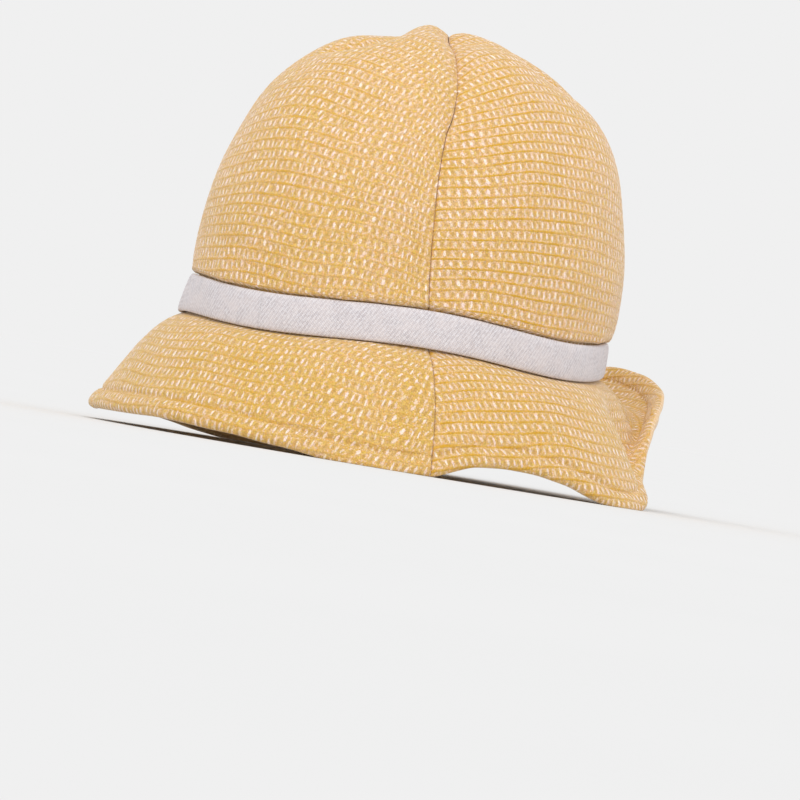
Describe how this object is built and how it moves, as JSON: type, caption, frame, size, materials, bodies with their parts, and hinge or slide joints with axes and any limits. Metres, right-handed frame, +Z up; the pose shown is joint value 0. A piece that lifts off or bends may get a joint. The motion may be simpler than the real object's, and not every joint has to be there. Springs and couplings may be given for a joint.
{
  "type": "sauna hat",
  "caption": "Soft bell-shaped sauna hat of waffle cloth with a gored crown, a linen band and a wavy brim turned up at the back.",
  "frame": {"origin": "middle of the hat's footprint, on the surface that its brim rests on", "axes": "+Z up through the crown, -Y towards the front of the hat, +X towards the wearer's left"},
  "size_m": [0.2542, 0.2742, 0.1943],
  "materials": {
    "crown_cloth": "mustard linen in a waffle weave with pale floats",
    "brim_cloth": "mustard linen in a waffle weave with pale floats",
    "band_cloth": "plain light grey linen, folded and softly filled"
  },
  "bodies": {
    "root": {"crown_gore_front": "crown_cloth", "crown_gore_left": "crown_cloth", "crown_gore_back": "crown_cloth", "crown_gore_right": "crown_cloth", "brim_panel_front": "brim_cloth", "brim_panel_left": "brim_cloth", "brim_panel_back": "brim_cloth", "brim_panel_right": "brim_cloth", "hat_band": "band_cloth"}
  },
  "joints": []
}
